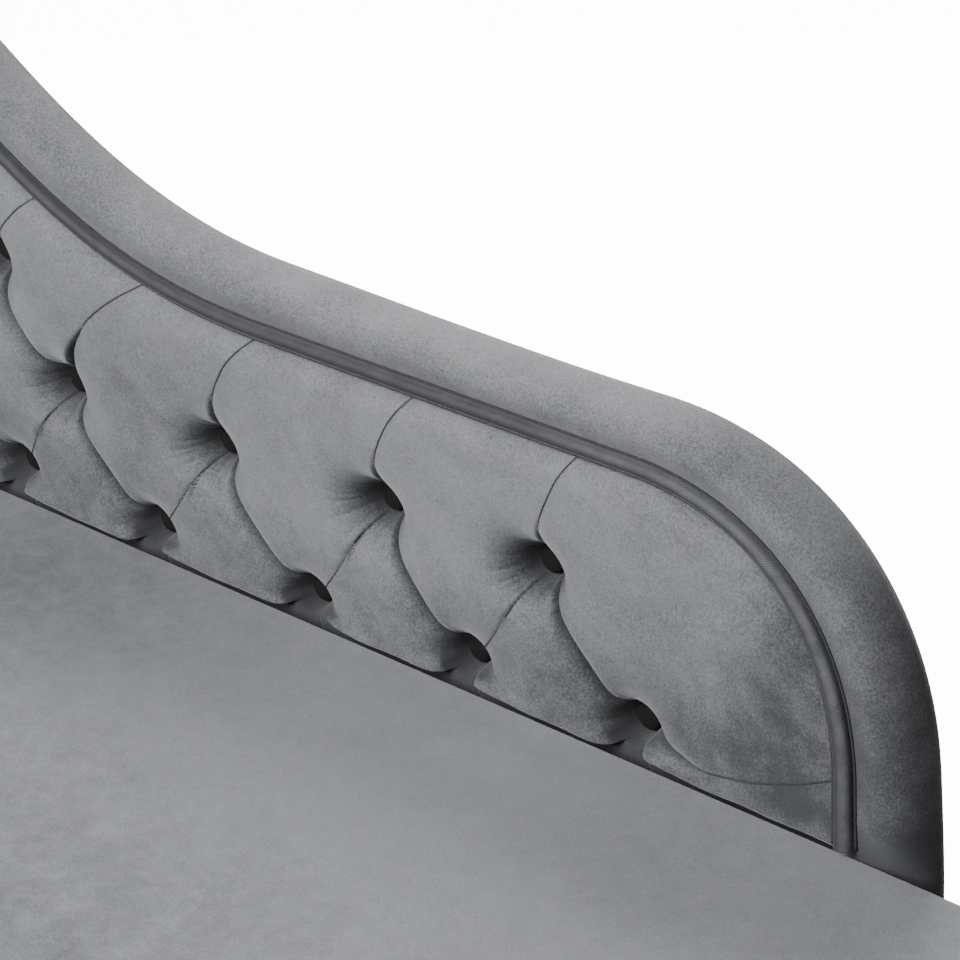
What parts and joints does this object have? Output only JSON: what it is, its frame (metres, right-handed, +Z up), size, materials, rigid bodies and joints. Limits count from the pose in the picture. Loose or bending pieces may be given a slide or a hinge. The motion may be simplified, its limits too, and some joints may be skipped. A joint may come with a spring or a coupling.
{
  "type": "fainting couch",
  "caption": "Fainting couch with a sweeping deep-buttoned back, a rolled and piped border, a scroll arm at the head end, a smooth tight seat and turned legs.",
  "frame": {"origin": "on the floor, under the centre of the couch's bounding box", "axes": "+X from the head end to the foot end, +Y from the open front to the back, +Z up"},
  "size_m": [1.5994, 0.6397, 0.8578],
  "materials": {
    "velvet": "short grey velvet with a soft nap",
    "piping": "the same velvet drawn over cord",
    "leg_wood": "dark stained and lacquered turning",
    "frame_wood": "sawn softwood, unfinished",
    "board": "plywood, unfinished",
    "foam": "polyurethane foam",
    "felt": "insulator felt",
    "webbing": "elastic seat webbing",
    "cambric": "black non-woven dust cloth",
    "glide": "moulded nylon"
  },
  "bodies": {
    "root": {"arm_facing": "velvet", "arm_front_board": "board", "arm_pad": "velvet", "arm_rail": "frame_wood", "arm_rear_board": "board", "arm_welt": "piping", "back_board": "board", "back_bottom_rail": "frame_wood", "back_rear_cover": "velvet", "back_roll": "velvet", "back_upright_1": "frame_wood", "back_upright_2": "frame_wood", "back_welt": "piping", "base_welt": "piping", "button_1_1": "velvet", "button_1_2": "velvet", "button_1_3": "velvet", "button_1_4": "velvet", "button_1_5": "velvet", "button_1_6": "velvet", "button_2_1": "velvet", "button_2_2": "velvet", "button_2_3": "velvet", "button_2_4": "velvet", "button_2_5": "velvet", "button_2_6": "velvet", "button_3_5": "velvet", "button_3_6": "velvet", "button_4_5": "velvet", "button_4_6": "velvet", "corner_block_foot_front": "frame_wood", "corner_block_foot_rear": "frame_wood", "corner_block_head_front": "frame_wood", "corner_block_head_rear": "frame_wood", "dust_cover": "cambric", "foot_rail": "frame_wood", "foot_rail_cover": "velvet", "front_rail": "frame_wood", "front_rail_cover": "velvet", "glide_foot_front": "glide", "glide_foot_rear": "glide", "glide_head_front": "glide", "glide_head_rear": "glide", "head_rail": "frame_wood", "head_rail_cover": "velvet", "leg_foot_front": "leg_wood", "leg_foot_rear": "leg_wood", "leg_head_front": "leg_wood", "leg_head_rear": "leg_wood", "rear_rail": "frame_wood", "rear_rail_cover": "velvet", "seat_cover": "velvet", "seat_felt": "felt", "seat_foam": "foam", "seat_strap_1": "webbing", "seat_strap_2": "webbing", "seat_strap_3": "webbing", "seat_strap_4": "webbing", "seat_stretcher_1": "frame_wood", "tufted_panel": "velvet"}
  },
  "joints": []
}
